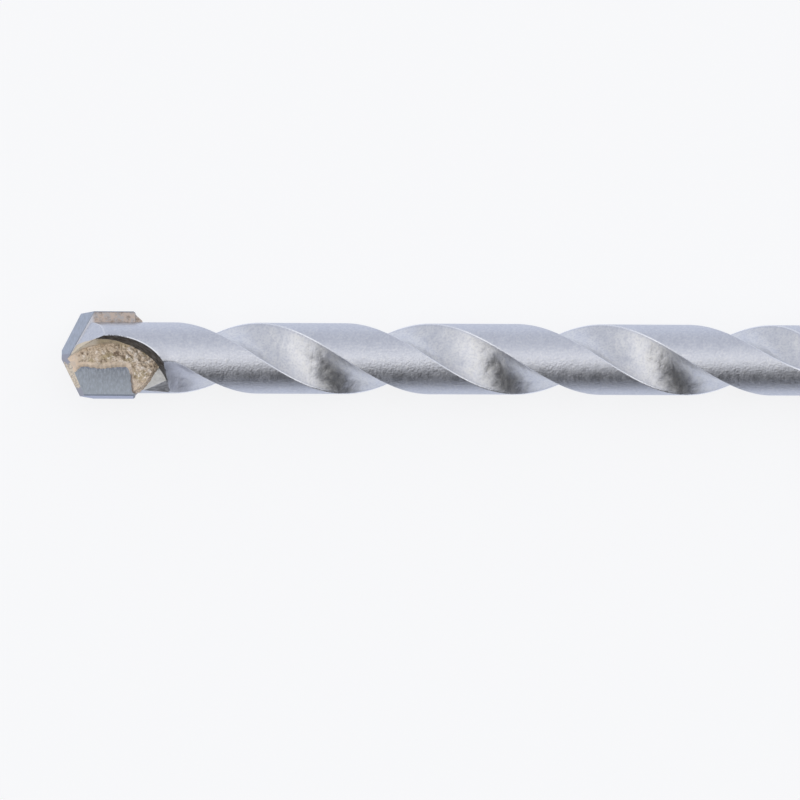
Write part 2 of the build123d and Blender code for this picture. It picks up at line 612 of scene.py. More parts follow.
def filled(outline, spacing):
    """Corners and triangles that fill a closed outline at about a spacing."""
    shape = np.array(outline)
    rows = np.arange(shape[:, 1].min(), shape[:, 1].max(), spacing * math.sqrt(0.75))
    cloud = []
    for index, y in enumerate(rows):
        cuts = row_cuts(shape, y)
        for left, right in zip(cuts[::2], cuts[1::2]):
            row = np.arange(left + left_gap * spacing, right - right_gap * spacing, spacing)
            cloud += [(x, y) for x in row + (index % 2) * row_shift * spacing]
    points = [Vector(p) for p in [*outline, *cloud]]
    loop = list(range(len(outline)))
    corners, _, triangles, *_ = delaunay_2d_cdt(points, [], [loop], inside_only, cloud_merge)
    return np.array([tuple(c) for c in corners]), triangles


corners, triangles = filled([*edge, *wall_foot], heap_spacing)
print("a heap has", len(corners), "corners and", len(triangles), "triangles")

# %% [markdown]
# The height is a smooth shape first. It rises from the free edge over a short slope, which is
# longer and lower at the nose and steeper at the tail, and broad waves make it uneven. Distances
# are worked out for all corners at once, as arrays of numbers, which is much faster than a loop.

# %% Lift the heap to its smooth shape
heap_height = 0.4
lowest_height = 0.015
slope_width = 0.55
nose_slope_width = 0.95
nose_height = 0.35
tail_slope_less = 0.35
long_slope_to = (1.2, 3.0)
low_nose_to = (0.8, 3.2)
tail_from = (7.9, 8.6)
wave_size = 1.1
wave_height = 0.12
wave_shift = 9


def distance_to(line, places):
    """The distance from each place to the nearest point of a line of points."""
    line = np.array(line)
    return np.array([np.sqrt(((line - place) ** 2).sum(axis=1).min()) for place in places])


def smooth_step(value, low, high):
    """0 below one level, 1 above another and a smooth rise between them."""
    share = np.clip((value - low) / (high - low), 0, 1)
    return share * share * (3 - 2 * share)


def broad_waves(places, shift):
    """Slow noise of about -1 to 1 at each place."""
    spots = [(x / wave_size, y / wave_size, shift + wave_shift) for x, y in places]
    return np.array([noise.noise(Vector(spot)) for spot in spots])


def smooth_heap(from_tip, inside, waves):
    """The heap's height at each place, before its grains."""
    by_nose = 1 - smooth_step(from_tip, *long_slope_to)
    by_tail = smooth_step(from_tip, *tail_from)
    width = slope_width + (nose_slope_width - slope_width) * by_nose
    rise = np.clip(inside / (width * (1 - tail_slope_less * by_tail)), 0, 1)
    full = nose_height + (1 - nose_height) * smooth_step(from_tip, *low_nose_to)
    return rise * (2 - rise) * (heap_height * full + wave_height * waves)


# %% [markdown]
# Then come the grains. Cell noise gives the distance to the nearest of many scattered points, and
# turned upside down that is a field of round grains. Real grains are less regular, so the noise
# is bent first, and three sizes of grain lie on each other. The slopes of the heap stay smooth,
# because the solder ran out there.

# %% Grow the grains
grain_sizes = ((0.55, 0.13), (0.34, 0.1), (0.18, 0.04))
tallest_grain = sum(tall for _, tall in grain_sizes)
grain_bend = 0.25
grain_bend_pace = 0.9
grain_foot = 0.85
grain_sink = 0.45
lump_size = 0.5
lump_height = 0.05
lump_roughness = 0.6
lump_finer_by = 2
lump_layers = 3
first_grains_at = (1.3, 2.4)
grains_inside = (0.32, 0.64)
tail_grains_nearer = 0.6
leg_from = (7.9, 8.4)
leg_side = (2.3, 3.2)
leg_grains_less = 0.5


def grains(places, size, shift):
    """Bent grains from cell noise: 1 at a grain's top and 0 between grains."""
    tops = []
    for x, y in places:
        spot = Vector((x / size, y / size, shift))
        spot += noise.noise_vector(spot * grain_bend_pace) * grain_bend
        near = noise.voronoi(spot)[0][0]
        tops.append(max(0.0, 1 - (near / grain_foot) ** 2))
    return np.array(tops)


def grain_tops(places, shift):
    """The height of the grains and lumps at each place, in mm."""
    spots = [(x / lump_size, y / lump_size, shift) for x, y in places]
    layers = (lump_roughness, lump_finer_by, lump_layers)
    lumps = np.array([noise.fractal(Vector(spot), *layers) for spot in spots])
    return sum(grains(places, size, shift) * tall for size, tall in grain_sizes) + lump_height * lumps


def grainy_share(places, from_tip, inside):
    """Where the grains lie: inside the slopes, and fewer on the leg beside the plate's tail."""
    nearer = 1 - tail_grains_nearer * smooth_step(from_tip, *tail_from)
    first, full = grains_inside
    share = smooth_step(inside, first * nearer, full * nearer)
    leg = smooth_step(from_tip, *leg_from) * smooth_step(-places[:, 1], *leg_side)
    return share * smooth_step(from_tip, *first_grains_at) * (1 - leg_grains_less * leg)


# %% [markdown]
# Beside the nose the solder also wetted the gash's wall and climbed it, up to the steel's edge and
# further back less and less. That thin coat is the same height field: close to the wall the
# height shoots up. Where the coat is, and where a painted shade darkens the solder's edge beside
# the plate's tail, is kept as a share at each corner, for the paint.

# %% Coat the wall
coat_heights = ((3.9, 2.3), (4.6, 2.0), (5.2, 1.75), (6.4, 1.3), (7.6, 0.75), (8.6, 0.4))
coat_thickness = 0.11
coat_waves = 0.1
coat_overlap = 0.02
coat_blend = (-0.05, 0.2)
foot_to_rim = 0.5
tail_shade_from = (7.9, 8.1)
tail_shade_to = (8.5, 8.8)
tail_shade_side = (1.9, 2.4)
tail_shade_width = (0.05, 0.3)


def wall_height(from_tip):
    """How high the steel stands over the gash's floor at its wall, in mm."""
    foot_y = on_wall(from_tip)[1]
    lean = math.tan(math.radians(gash_draft_deg))
    setback, rise, slope = nose_plane
    ground = (from_tip - setback - rise * foot_y - slope * half_thickness) / (slope + rise * lean)
    side = math.sqrt(rod_radius**2 - (foot_y + foot_to_rim) ** 2) - half_thickness
    return min(ground, side)


def wall_coat(places, from_tip, waves):
    """How high the coat stands at each place."""
    to_wall = gash_floor_radius - np.hypot(places[:, 0] - gash_x, places[:, 1] - gash_y)
    limit = np.interp(from_tip, *zip(*coat_heights)) + coat_waves * waves
    limit = np.minimum(limit, [wall_height(place) + coat_overlap for place in from_tip])
    return limit * np.exp(-np.clip(to_wall, 0, None) / coat_thickness)


def tail_edge_shade(places, from_tip, inside):
    """Where a painted shade darkens the solder's edge beside the plate's tail."""
    along = smooth_step(from_tip, *tail_shade_from) * (1 - smooth_step(from_tip, *tail_shade_to))
    across = smooth_step(-places[:, 1], *tail_shade_side)
    return along * across * (1 - smooth_step(inside, *tail_shade_width))


def heap_heights(places, edge, shift):
    """Height above the gash's floor at each place, and the shares that the paint needs."""
    from_tip = places[:, 0] - tip_x
    inside = distance_to(edge, places)
    waves = broad_waves(places, shift)
    tops = grain_tops(places, shift)
    grainy = grainy_share(places, from_tip, inside)
    height = smooth_heap(from_tip, inside, waves) + grainy * (tops - grain_sink * tallest_grain)
    height = np.maximum(height, lowest_height)
    coat = wall_coat(places, from_tip, waves)
    coated = smooth_step(coat - height, *coat_blend)
    shares = {"grainy": grainy * (1 - coated), "grain_top": tops / tallest_grain}
    # The tail share marks a painted shade along the solder's edge beside the plate's tail.
    shares.update(wall_coat=coated, stained=tail_edge_shade(places, from_tip, inside))
    return np.maximum(height, coat), shares


heights, shares = heap_heights(corners, edge, 0.0)
print("the heap is up to", round(float(heights.max()), 2), "mm high, with its coat on the wall")

# %% [markdown]
# A height field is only a skin, and a piece has to be a closed body. So the skin's rim goes down
# to a flat base just under the gash's floor. Near the wall the skin is pushed outwards, by as
# much as the wall leans, and at the tail the base hangs a little over the rod's side.

# %% Close a heap into a body
base_sink = 0.03
overhang_drop = 0.35
overhang_from = (8.6, 8.8)
overhang_side = (3.85, 4.1)
wall_press = 0.02
lean_from = 0.3
lean_to = 0.02


def heap_top(places, height):
    """The skin's corners, pushed out to the leaning wall near it."""
    out = places - (gash_x, gash_y)
    reach = np.hypot(*out.T)
    near_wall = smooth_step(reach, gash_floor_radius - lean_from, gash_floor_radius - lean_to)
    push = near_wall * (height * math.tan(math.radians(gash_draft_deg)) + wall_press)
    return np.column_stack([places + out / reach[:, None] * push[:, None], half_thickness + height])


def heap_mesh(shift):
    """Corners in mm, faces and the shares of one closed heap."""
    edge, wall_foot = heap_outline(shift)
    places, triangles = filled([*edge, *wall_foot], heap_spacing)
    height, shares = heap_heights(places, edge, shift)
    top = heap_top(places, height)
    rim = range(len(edge) + len(wall_foot))
    hangs = smooth_step(places[:, 0] - tip_x, *overhang_from)
    hangs = hangs * smooth_step(-places[:, 1], *overhang_side)
    base = [(*places[i], half_thickness - base_sink - overhang_drop * hangs[i]) for i in rim]
    count, last = len(top), len(rim)
    faces = [tuple(t) for t in triangles]
    faces.append(tuple(count + i for i in reversed(rim)))
    faces += [(i, count + i, count + (i + 1) % last, (i + 1) % last) for i in rim]
    return [*map(tuple, top), *base], faces, {k: [*v, *v[:last]] for k, v in shares.items()}


points, faces, shares = heap_mesh(0.0)
print("a heap has", len(points), "corners and", len(faces), "faces")

# %% [markdown]
# The film keeps the solid's form. A copy of the solid's mesh loses what the gashes hold, with the
# same wheel shape as above, and the two fine heaps take that place.

# %% Cut the film from the solid
weld_distance_mm = 0.002


def welded_copy(solid):
    """A new object whose mesh is a solid's, with its corners joined to each other."""
    shape = bmesh.new()
    shape.from_mesh(solid.data)
    bmesh.ops.remove_doubles(shape, verts=shape.verts[:], dist=weld_distance_mm * MM)
    mesh = bpy.data.meshes.new("film")
    shape.to_mesh(mesh)
    shape.free()
    piece = bpy.data.objects.new("film", mesh)
    bpy.context.scene.collection.objects.link(piece)
    return piece


def film_mesh():
    """Corners in mm, faces and the shares of the film, without what the gashes hold."""
    film = welded_copy(braze_node)
    before = len(film.data.polygons)
    cut_twice(film, gash_wheel)
    print("the film keeps", len(film.data.polygons), "of", before, "faces")
    points = [tuple(v.co / MM) for v in film.data.vertices]
    faces = [tuple(p.vertices) for p in film.data.polygons]
    bpy.data.objects.remove(film)
    levels = {"grainy": 0.0, "grain_top": 0.5, "wall_coat": 0.0, "stained": 0.0, "film": 1.0}
    return points, faces, {name: [level] * len(points) for name, level in levels.items()}


# %% [markdown]
# The film and the two heaps become one mesh, as they are one piece of metal. The second heap is
# given other noise, because no two heaps froze alike. The shares are stored with the corners as
# attributes, so that the paint can read them by name.

# %% Put the braze together
second_heap_shift = 40.0
braze_sharp_deg = 50


def braze_parts():
    """The film and two heaps as corners in mm, faces and shares."""
    points, faces, shares = film_mesh()
    for turned, shift in ((False, 0.0), (True, second_heap_shift)):
        heap, sides, share = heap_mesh(shift)
        start = len(points)
        points += half_turned(heap) if turned else heap
        faces += [tuple(start + i for i in side) for side in sides]
        for name in shares:
            shares[name] += share.get(name, [0.0] * len(heap))
    return points, faces, shares


def store(piece, name, values, domain="POINT"):
    """Keeps one number for each corner or face of a piece, for its paint."""
    piece.data.attributes.new(name, "FLOAT", domain).data.foreach_set("value", values)


points, faces, shares = braze_parts()
braze = new_piece("braze_metal", points, faces)
for name, values in shares.items():
    store(braze, name, values)
braze.data.set_sharp_from_angle(angle=math.radians(braze_sharp_deg))
print("braze:", len(points), "points,", len(faces), "faces")
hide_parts("braze_filler")
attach(braze, "root")

# %% [markdown]
# ## The camera
#
# The photograph looks almost straight down at the bit. The narrow side of the plate shows as a
# strip below the lower wing, which says that the eye is 10 degrees off the plate's face. A long
# lens far away keeps the rod's two edges parallel, as they are there.

# %% Place the camera
picture_pixels = 800
pixels_per_mm = 8.57
tip_pixel = 61.5
axis_pixel_at_middle = 358.8
picture_slope = 0.0042
camera_elevation_deg = 80.0
lens_mm = 500.0
sensor_mm = 36.0

eye = math.radians(camera_elevation_deg)
toward_eye = Vector((0, -math.cos(eye), math.sin(eye)))
picture_up = Vector((0, math.sin(eye), math.cos(eye)))
picture_width = picture_pixels / pixels_per_mm
aim_x = tip_x + (picture_pixels / 2 - tip_pixel) / pixels_per_mm
aim = Vector((aim_x, 0, 0)) - picture_up * (picture_pixels / 2 - axis_pixel_at_middle) / pixels_per_mm
distance = lens_mm / sensor_mm * picture_width

camera_data = bpy.data.cameras.new("camera")
camera_data.lens = lens_mm
camera_data.sensor_width = sensor_mm
camera_data.clip_start = 0.1
camera_data.clip_end = 10.0
camera = bpy.data.objects.new("camera", camera_data)
bpy.context.scene.collection.objects.link(camera)
camera.location = (aim + toward_eye * distance) * MM
level = toward_eye.to_track_quat("Z", "Y").to_matrix().to_4x4()
tilt = Matrix.Rotation(math.atan(picture_slope), 4, "Z")
camera.matrix_world = Matrix.Translation(camera.location) @ level @ tilt
bpy.context.scene.camera = camera
print("camera", round(distance), "mm away, picture", round(picture_width, 1), "mm wide")

# %% [markdown]
# ## Building materials from nodes
#
# A Blender material is a graph of nodes. Adding a node, setting it and wiring it takes several
# lines each time, so a few short helpers do that. An input of a node is either a plain value or
# the output of another node.

# %% Helpers for shader nodes
def node(tree, kind, inputs=None, **settings):
    """Adds a shader node, with its settings and what goes into it."""
    added = tree.nodes.new("ShaderNode" + kind)
    for name, value in settings.items():
        setattr(added, name, value)
    for name, value in (inputs or {}).items():
        if isinstance(value, bpy.types.NodeSocket):
            tree.links.new(value, added.inputs[name])
        else:
            added.inputs[name].default_value = value
    return added


def maths(tree, operation, *values):
    """One sum, product or the like of plain numbers and outputs."""
    return node(tree, "Math", dict(enumerate(values)), operation=operation).outputs[0]


def product(tree, first, *others):
    """Several shares multiplied together, which is high only where all of them are."""
    for other in others:
        first = maths(tree, "MULTIPLY", first, other)
    return first


def largest(tree, first, *others):
    """The largest of several shares at each place."""
    for other in others:
        first = maths(tree, "MAXIMUM", first, other)
    return first


def step(tree, value, low, high, at_low=0.0, at_high=1.0):
    """Goes smoothly from one level to another as a value goes from low to high."""
    levels = {"From Min": low, "From Max": high, "To Min": at_low, "To Max": at_high}
    return node(tree, "MapRange", {"Value": value, **levels}, interpolation_type="SMOOTHSTEP").outputs[0]


def step_mm(tree, value, low, high, at_low=0.0, at_high=1.0):
    """The same for a distance, between two places in mm."""
    return step(tree, value, low * MM, high * MM, at_low, at_high)


def mix(tree, share, first, second):
    """A colour between two, by a share from 0 to 1."""
    added = node(tree, "Mix", data_type="RGBA")
    for place, value in ((0, share), (6, first), (7, second)):
        if isinstance(value, bpy.types.NodeSocket):
            tree.links.new(value, added.inputs[place])
        else:
            added.inputs[place].default_value = value
    return added.outputs[2]


# %% [markdown]
# Every material starts from Blender's own surface shader. A number that is the same all over a
# piece is set on that shader directly, and only what varies is wired to it.

# %% Helpers for whole materials
def new_material(name, **inputs):
    """A material, its node tree and its surface shader, with plain values on the shader."""
    material = bpy.data.materials.new(name)
    material.use_nodes = True
    shader = material.node_tree.nodes["Principled BSDF"]
    for key, value in inputs.items():
        shader.inputs[key.replace("_", " ")].default_value = value
    return material, material.node_tree, shader


def paint(piece, material):
    """Gives a piece one material, and says how many nodes that took."""
    piece.data.materials.clear()
    piece.data.materials.append(material)
    print(piece.name, "is painted with", material.name, "of", len(material.node_tree.nodes), "nodes")


# %% [markdown]
# ## The table
#
# A small tool is photographed on a sheet of white card. A white card in a studio looks whiter
# than its paint, because the exposure is set for the tool. So a fifth of what the camera and the
# steel see of the table is its lit paint, which holds the bit's shadow, and the rest is plain
# white. Other light, such as what the table throws back at the bit, uses the paint alone. The
# steel mirrors the card a little bluer than it is, as it does in the photograph: a painted
# reflection. It also mirrors the card's front part dark: a painted shade that only the steel's
# reflections see, standing in for the shade of the tent's open side.

# %% Lay the table
table_half_mm = 9000
card_paint = (0.88, 0.89, 0.92, 1)
card_white = 0.8
plain_white = (1, 1, 1, 1)
mirrored_white = (0.86, 0.92, 1.08, 1)
shade_colour = (0.05, 0.05, 0.06, 1)
front_shade = 0.58
shade_from_mm = 6.0
shade_to_mm = 25.0

corners = [(x, y, table_z) for x, y in ((-1, -1), (1, -1), (1, 1), (-1, 1))]
corners = [(x * table_half_mm, y * table_half_mm, z) for x, y, z in corners]
table = new_piece("table", corners, [(0, 1, 2, 3)])
table_paint, tree, shader = new_material("white_card", Base_Color=card_paint, Roughness=0.9)
ray = node(tree, "LightPath").outputs
seen = largest(tree, ray["Is Camera Ray"], ray["Is Glossy Ray"], ray["Is Transmission Ray"])
# Painted reflection: what the steel mirrors of the card is a little bluer than the card.
white = mix(tree, ray["Is Glossy Ray"], plain_white, mirrored_white)
white = node(tree, "Emission", {"Color": white, "Strength": 1.0}).outputs[0]
share = product(tree, seen, card_white)
card = node(tree, "MixShader", {0: share, 1: shader.outputs[0], 2: white}).outputs[0]
place = node(tree, "SeparateXYZ", {0: node(tree, "TexCoord").outputs["Object"]})
# Painted shade: the steel mirrors the card's front part dark, though nothing shades it.
in_front = step_mm(tree, place.outputs["Y"], -shade_from_mm, -shade_to_mm)
shaded = product(tree, in_front, ray["Is Glossy Ray"], front_shade)
dark = node(tree, "Emission", {"Color": shade_colour, "Strength": 1.0}).outputs[0]
card = node(tree, "MixShader", {0: shaded, 1: card, 2: dark}).outputs[0]
tree.links.new(card, tree.nodes["Material Output"].inputs["Surface"])
paint(table, table_paint)

# %% [markdown]
# ## The light
#
# Bare steel has hardly any colour of its own: what is seen is what it mirrors. In the photograph
# the rod is brightest on top, has a dark band low on its near side and is pale blue-grey behind.
# The flutes twist the same pattern round. All of it fits a pale tent that is brightest overhead
# and to its left, cooler behind, and whose dark opening is at the front, a little to the right.
# So the world is that tent: its light depends on how far a direction points to the opening. The
# camera itself sees a plain pale world.

# %% Light the tent
opening_azimuth_deg = 27.0
back_light = 0.74
top_light = 1.16
opening_light = 0.04
back_tint = (0.91, 0.955, 1.09, 1)
top_tint = (0.93, 0.945, 1.0, 1)
back_to_top = (-0.33, -0.05)
top_to_opening = (0.27, 0.78)

world = bpy.data.worlds.new("tent")
bpy.context.scene.world = world
world.use_nodes = True
tree = world.node_tree
turn = math.radians(opening_azimuth_deg)
opening = {0: node(tree, "TexCoord").outputs["Generated"], 1: (math.sin(turn), -math.cos(turn), 0)}
toward = node(tree, "VectorMath", opening, operation="DOT_PRODUCT").outputs["Value"]
tent = step(tree, toward, *back_to_top, back_light, top_light)
open_front = step(tree, toward, *top_to_opening, 0.0, top_light - opening_light)
tent = maths(tree, "SUBTRACT", tent, open_front)
strength = largest(tree, tent, node(tree, "LightPath").outputs["Is Camera Ray"])
tint = mix(tree, step(tree, toward, *back_to_top), back_tint, top_tint)
background = tree.nodes["Background"]
tree.links.new(tint, background.inputs["Color"])
tree.links.new(strength, background.inputs["Strength"])
print("the tent's light runs from", opening_light, "in its opening to", top_light, "overhead")

# %% [markdown]
# The tent alone gives light without a direction. One weak, warm lamp over the tip adds the soft
# shadow under the bit and a little more light on the upper sides.

# %% Hang the lamp
lamp_place = (-0.25, -0.02, 0.8)
lamp_size = (1.2, 0.7)
lamp_watts = 0.3
lamp_tint = (1.0, 0.97, 0.9)

lamp = bpy.data.lights.new("overhead", "AREA")
lamp.shape = "RECTANGLE"
lamp.size, lamp.size_y = lamp_size
lamp.energy = lamp_watts
lamp.color = lamp_tint
overhead = bpy.data.objects.new("overhead", lamp)
bpy.context.scene.collection.objects.link(overhead)
overhead.location = lamp_place
overhead.rotation_mode = "QUATERNION"
overhead.rotation_quaternion = Vector(lamp_place).to_track_quat("Z", "Y")
print("one lamp,", round(overhead.location.z, 2), "m above the table")

# %% [markdown]
# ## Blasted steel
#
# After hardening the bit is cleaned with fine sand, which leaves the steel satin grey. The flutes
# are brighter than the lands between them, and painted warmer, a painted sheen of the warm light
# they mirror; their edges get a painted highlight. The walls of the two gashes are painted nearly
# black, part heat stain from the brazing torch and part painted shade of the deep wall. Some of
# these places can be told by the mesh, so they are marked there first: each face of a gash's wall
# or floor gets a 1, and so does each corner along a flute's edge. The paint then reads those marks
# by name.

# %% Mark the walls, the floors and the flutes' edges
wall_tolerance = 0.03
floor_tolerance = 0.01
edges_behind = (11.0, 12.0)
deep_enough = (0.3, 0.8)
edge_starts = (0.002, 0.018)
edge_ends = (0.06, 0.13)


def on_gash_wall(centre):
    """Whether a face's centre, in mm, lies on the wall of one of the gashes."""
    x, y, z = centre
    side = 1 if z > 0 else -1
    away = math.hypot(x - gash_x, side * y - gash_y)
    above_floor = abs(z) - half_thickness
    lean = gash_floor_radius + above_floor * math.tan(math.radians(gash_draft_deg))
    return above_floor > wall_tolerance and abs(away - lean) < wall_tolerance


def on_gash_floor(centre):
    """Whether a face's centre, in mm, lies on the flat floor of one of the gashes."""
    level = abs(abs(centre[2]) - half_thickness) < floor_tolerance
    return level and centre[0] < tip_x + heel_start[0]


def on_flute_edge(point):
    """A share that is 1 along the edges of the flutes, from a corner in mm."""
    from_tip = point[0] - tip_x
    rod = rod_radius_at(from_tip)
    drop = rod - math.hypot(point[1], point[2])
    depth = rod - core_radius - groove_lift(from_tip)
    along = smooth_step(from_tip, *edges_behind) * smooth_step(depth, *deep_enough)
    return float(along * smooth_step(drop, *edge_starts) * (1 - smooth_step(drop, *edge_ends)))


walls = [float(on_gash_wall(p.center / MM)) for p in steel.data.polygons]
floors = [float(on_gash_floor(p.center / MM)) for p in steel.data.polygons]
store(steel, "scorched_and_shaded", walls, "FACE")
store(steel, "gash_floor", floors, "FACE")
store(steel, "flute_edge", [on_flute_edge(v.co / MM) for v in steel.data.vertices])
print(round(sum(walls)), "faces are scorched,", round(sum(floors)), "are the gash floors")

# %% [markdown]
# The rest of the detail comes from noise and from distances. The noise is laid in the bit's own
# coordinates, so that it stays in its place on the steel. A Bump node makes a layer of noise look
# like relief, and a Bevel node makes sharp corners look rounded.

# %% Helpers for surface detail
bevel_samples = 6
turned_away = (0.995, 0.9)


def noise_of(tree, place, size_mm, stretch=(1, 1, 1), detail=2.0, roughness=0.5):
    """Noise from 0 to 1 with lumps of about a size, squeezed along some axes."""
    scaled = node(tree, "Mapping", {"Vector": place, "Scale": stretch}).outputs[0]
    settings = {"Scale": 1 / (size_mm * MM), "Detail": detail, "Roughness": roughness}
    return node(tree, "TexNoise", {"Vector": scaled, **settings}).outputs["Fac"]


def bump(tree, height, depth_mm, normal):
    """The normal of a surface that is raised by a height from 0 to 1 times a depth."""
    raised = {"Height": height, "Distance": depth_mm * MM, "Strength": 1.0, "Normal": normal}
    return node(tree, "Bump", raised).outputs[0]


def rounded_edges(tree, radius):
    """A normal that rounds sharp edges, and a share that is 1 on them."""
    rounded = node(tree, "Bevel", {"Radius": radius}, samples=bevel_samples).outputs[0]
    own = node(tree, "NewGeometry").outputs["Normal"]
    along = node(tree, "VectorMath", {0: rounded, 1: own}, operation="DOT_PRODUCT")
    return rounded, step(tree, along.outputs["Value"], *turned_away)


def stored(tree, name):
    """A share that was stored with the mesh."""
    return node(tree, "Attribute", attribute_name=name).outputs["Fac"]


# %% [markdown]
# The distances say how far a place is behind the tip, beyond a gash's wall or behind the nose's
# facet. Nodes work them out at every point that is rendered, so a line that is drawn with them
# can be finer than the mesh.

# %% Helpers for places on the bit
def behind_tip(tree, place, start, end, at_start=0.0, at_end=1.0):
    """Goes from one level to another between two distances behind the tip, in mm."""
    along = node(tree, "SeparateXYZ", {0: place}).outputs["X"]
    return step_mm(tree, along, tip_x + start, tip_x + end, at_start, at_end)


def sides_of(tree, place):
    """X, Y and Z of a place, with the lower half of the bit turned onto the upper half."""
    axes = node(tree, "SeparateXYZ", {0: place}).outputs
    side = maths(tree, "MULTIPLY", axes["Y"], maths(tree, "SIGN", axes["Z"]))
    return axes["X"], side, maths(tree, "ABSOLUTE", axes["Z"])


def beyond_wall(tree, place):
    """How far a place is beyond the leaning wall of its gash, in metres."""
    x, y, z = sides_of(tree, place)
    out_x = maths(tree, "SUBTRACT", x, gash_x * MM)
    out_y = maths(tree, "SUBTRACT", y, gash_y * MM)
    out = node(tree, "CombineXYZ", {"X": out_x, "Y": out_y}).outputs[0]
    away = node(tree, "VectorMath", {0: out}, operation="LENGTH").outputs["Value"]
    lean = math.tan(math.radians(gash_draft_deg))
    wall = maths(tree, "MULTIPLY_ADD", z, lean, (gash_floor_radius - half_thickness * lean) * MM)
    return maths(tree, "SUBTRACT", away, wall)


def behind_facet(tree, place):
    """How far a place is behind the slanting face of the nose, in metres."""
    setback, rise, slope = nose_plane
    x, y, z = sides_of(tree, place)
    face = maths(tree, "MULTIPLY_ADD", y, rise, maths(tree, "MULTIPLY", z, slope))
    gap = maths(tree, "SUBTRACT", maths(tree, "SUBTRACT", x, (tip_x + setback) * MM), face)
    return maths(tree, "DIVIDE", gap, math.hypot(1, rise, slope))


# %% [markdown]
# The steel has to know where its flutes are: there, a place is nearer to the axis than the rod's
# side is. The gashes and the domed end are nearer too, so they are left out by their distance
# behind the tip. Shares like this one run from 0 to 1, and multiplied they work like masks.

# %% Tell the flutes from the rest
end_from_tip = shank_end_x - tip_x
dome_from = end_from_tip - 6
dome_to = end_from_tip - 3
sunk_from = 0.12
sunk_to = 0.4
nose_to_flute = (11.5, 13.5)

steel_paint, tree, shader = new_material("blasted_steel", Metallic=1.0)
place = node(tree, "TexCoord").outputs["Object"]
axes = node(tree, "SeparateXYZ", {0: place}).outputs
cross = node(tree, "CombineXYZ", {"Y": axes["Y"], "Z": axes["Z"]}).outputs[0]
off_axis = node(tree, "VectorMath", {0: cross}, operation="LENGTH").outputs["Value"]
sunk = step_mm(tree, off_axis, shank_radius - sunk_from, shank_radius - sunk_to)
behind_nose = behind_tip(tree, place, *nose_to_flute)
before_end = behind_tip(tree, place, dome_to, dome_from)
in_flute = product(tree, sunk, behind_nose, before_end)
print("a place is in a flute when it lies", sunk_to, "mm under the rod's side")

# %% [markdown]
# The sand rounds every corner a little, and a rounded corner catches the light. A Bevel node
# gives such a rounded normal, and where it turns away from the true one, there is an edge, which
# gets a painted highlight. At the thin rim of the gash's wall it finds too much, so the painted
# highlight there is a line drawn by its distance from the wall instead. So is the painted lighter
# line along the faint crease that runs behind the nose's slanting facet.

# %% Find the bright edges
edge_radius = 0.15
rim_radius = 0.02
rim_width = 0.2
crease_width = 0.16
crease_strength = 0.4
wall_band = (0.4, 0.25)
wall_band_ends = (12.8, 12.6)
rim_grows = (4.5, 8, 0.2, 1.0)
rim_ends = (11.6, 11.2)

beyond = beyond_wall(tree, place)
outside = step_mm(tree, beyond, 0.0, 0.01)
near_wall = step_mm(tree, maths(tree, "ABSOLUTE", beyond), *wall_band)
near_wall = product(tree, near_wall, behind_tip(tree, place, *wall_band_ends))
off_wall = maths(tree, "SUBTRACT", 1.0, near_wall)
radius = step(tree, near_wall, 0.0, 1.0, edge_radius * MM, rim_radius * MM)
rounded, edge_glint = rounded_edges(tree, radius)
edge_glint = product(tree, edge_glint, off_wall)
rim = product(tree, step_mm(tree, beyond, rim_width, rim_width / 2), outside)
rim = product(tree, rim, behind_tip(tree, place, *rim_grows), behind_tip(tree, place, *rim_ends))
behind = behind_facet(tree, place)
crease = step_mm(tree, behind, crease_width, 0.06)
crease = product(tree, crease, step_mm(tree, behind, 0.0, 0.01))
on_land = step_mm(tree, off_axis, rod_radius - 0.1, rod_radius - 0.05, 0.0, crease_strength)
# Painted highlight: where these shares are high, the steel is painted near white.
edges = largest(tree, edge_glint, rim, product(tree, crease, on_land))
flute_line = product(tree, stored(tree, "flute_edge"), off_wall)
print("the sand has rounded the corners over", edge_radius, "mm")

# %% [markdown]
# The steel is uneven in three ways: a grain of a quarter of a millimetre from the sand, streaks
# that run round the rod, and broad waves in the flutes. Each is a layer of noise that a Bump node
# turns into relief. The layers are weaker on the lands, which were ground. A height is centred
# on zero before it is made weaker, because otherwise the change itself would look like a slope.

# %% Raise the steel's relief
sand_size = 0.26
sand_depth = 0.035
streak_size = 1.1
streak_depth = 0.045
flute_wave_size = 2.0
flute_wave_depth = 0.15
ground_relief = 0.2
flute_sand = 0.5
relief_from = shank_radius - 0.05
relief_full = shank_radius - 1.1

grain = noise_of(tree, place, sand_size, detail=1.0)
streaks = noise_of(tree, place, streak_size, (2.2, 1, 1))
waves = noise_of(tree, place, flute_wave_size, (1.5, 1, 1), detail=1.0)
uneven = step_mm(tree, off_axis, relief_from, relief_full, ground_relief, 1.0)
smooth_end = behind_tip(tree, place, dome_from, dome_to, 1.0, ground_relief)
uneven = maths(tree, "MINIMUM", uneven, smooth_end)
sandy = step(tree, in_flute, 0.0, 1.0, 1.0, flute_sand)
rolled = (waves, flute_wave_depth, uneven)
layers = (rolled, (streaks, streak_depth, uneven), (grain, sand_depth, sandy))
normal = rounded
for layer, depth_mm, share in layers:
    centred = maths(tree, "SUBTRACT", layer, 0.5)
    normal = bump(tree, product(tree, centred, share), depth_mm, normal)
tree.links.new(normal, shader.inputs["Normal"])
print("the sand's grain is", sand_depth, "mm deep and the waves are", flute_wave_depth, "mm deep")

# %% [markdown]
# The same layers colour the steel, so that a dark speck is also a dimple. Each mix lays one
# colour over the last. Its four numbers are two levels of the noise, and how much of the new
# colour is laid at the first one and at the second one.

